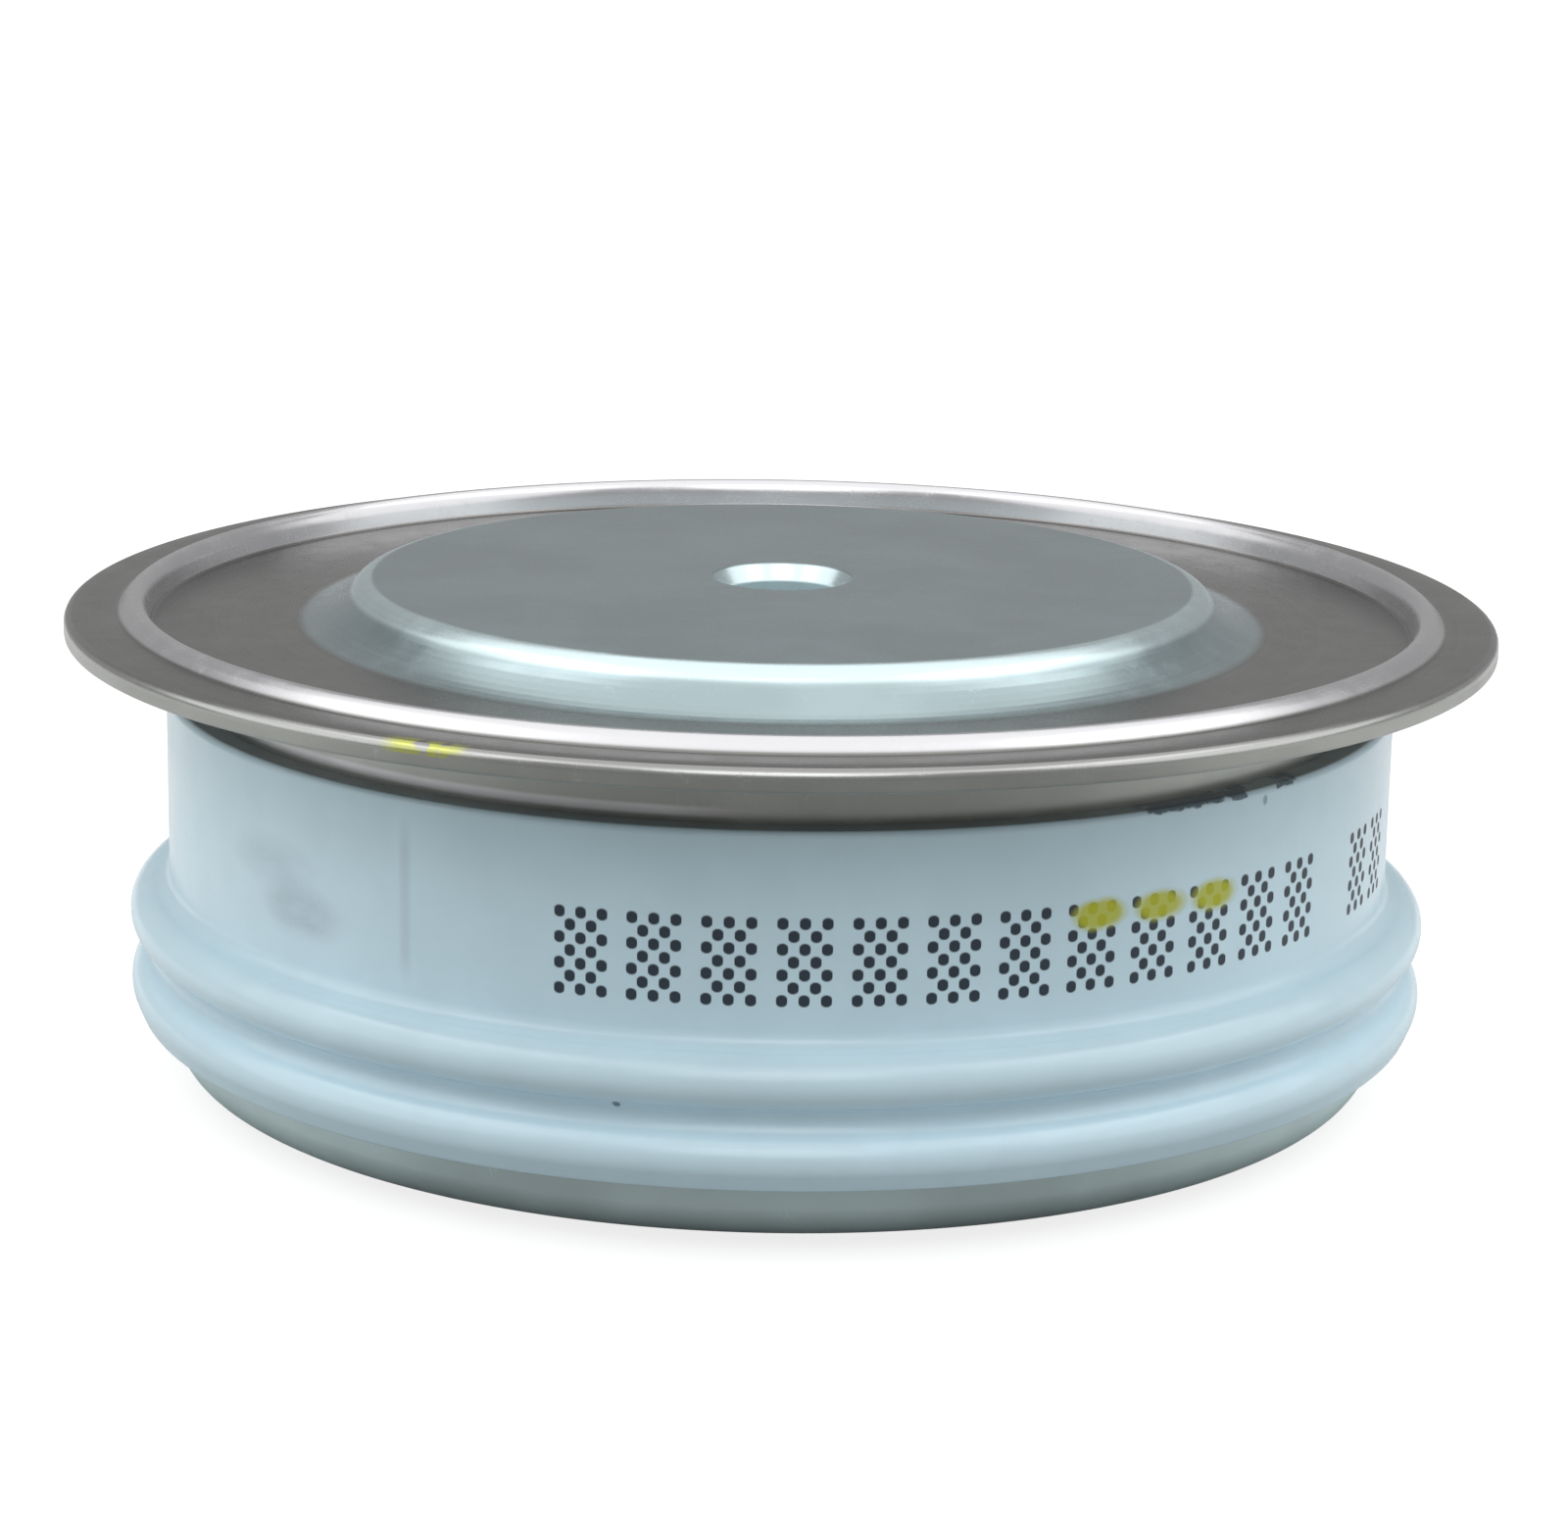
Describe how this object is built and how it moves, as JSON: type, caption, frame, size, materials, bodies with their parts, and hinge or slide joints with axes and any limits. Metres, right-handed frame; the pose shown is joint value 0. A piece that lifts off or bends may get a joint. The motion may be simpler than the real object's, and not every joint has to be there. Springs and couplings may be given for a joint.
{
  "type": "disc thyristor",
  "caption": "Press-pack power semiconductor: flat round metal contacts on both faces, a ribbed white ceramic ring, a wide welded metal rim and a thin gate pin at the side.",
  "frame": {"origin": "centre of the flat anode contact face, on which the disc rests", "axes": "+Z from the anode contact to the cathode contact, +Y along the gate terminal, +X to the right with the gate terminal behind"},
  "size_m": [0.042, 0.0438, 0.0147],
  "materials": {
    "anode_pole": "satin nickel plate on copper",
    "anode_flange": "satin nickel plate",
    "ceramic_ring": "white glaze",
    "weld_ring": "satin nickel plate",
    "cathode_lid": "satin nickel plate",
    "cathode_pole": "satin nickel plate on copper",
    "silver_shim": "soft silver",
    "molybdenum": "lapped",
    "silicon": "polished",
    "edge_seal": "cast silicone",
    "white_insulator": "turned",
    "gate_pin": "gold plate",
    "gate_spring": "drawn wire",
    "gate_lead": "silver wire",
    "lead_sleeve": "extruded",
    "gate_terminal": "plated",
    "gate_ferrule": "satin nickel plate"
  },
  "bodies": {
    "root": {"anode_pole": "anode_pole", "anode_flange": "anode_flange", "ceramic_ring": "ceramic_ring", "weld_ring": "weld_ring", "cathode_lid": "cathode_lid", "cathode_pole": "cathode_pole", "anode_shim": "silver_shim", "anode_disc": "molybdenum", "silicon_wafer": "silicon", "edge_seal": "edge_seal", "centring_ring": "white_insulator", "cathode_disc": "molybdenum", "cathode_shim": "silver_shim", "gate_guide_bush": "white_insulator", "gate_pin": "gate_pin", "gate_spring": "gate_spring", "gate_insulating_cup": "white_insulator", "gate_lead": "gate_lead", "gate_lead_sleeve": "lead_sleeve", "gate_terminal": "gate_terminal", "gate_ferrule": "gate_ferrule"}
  },
  "joints": []
}
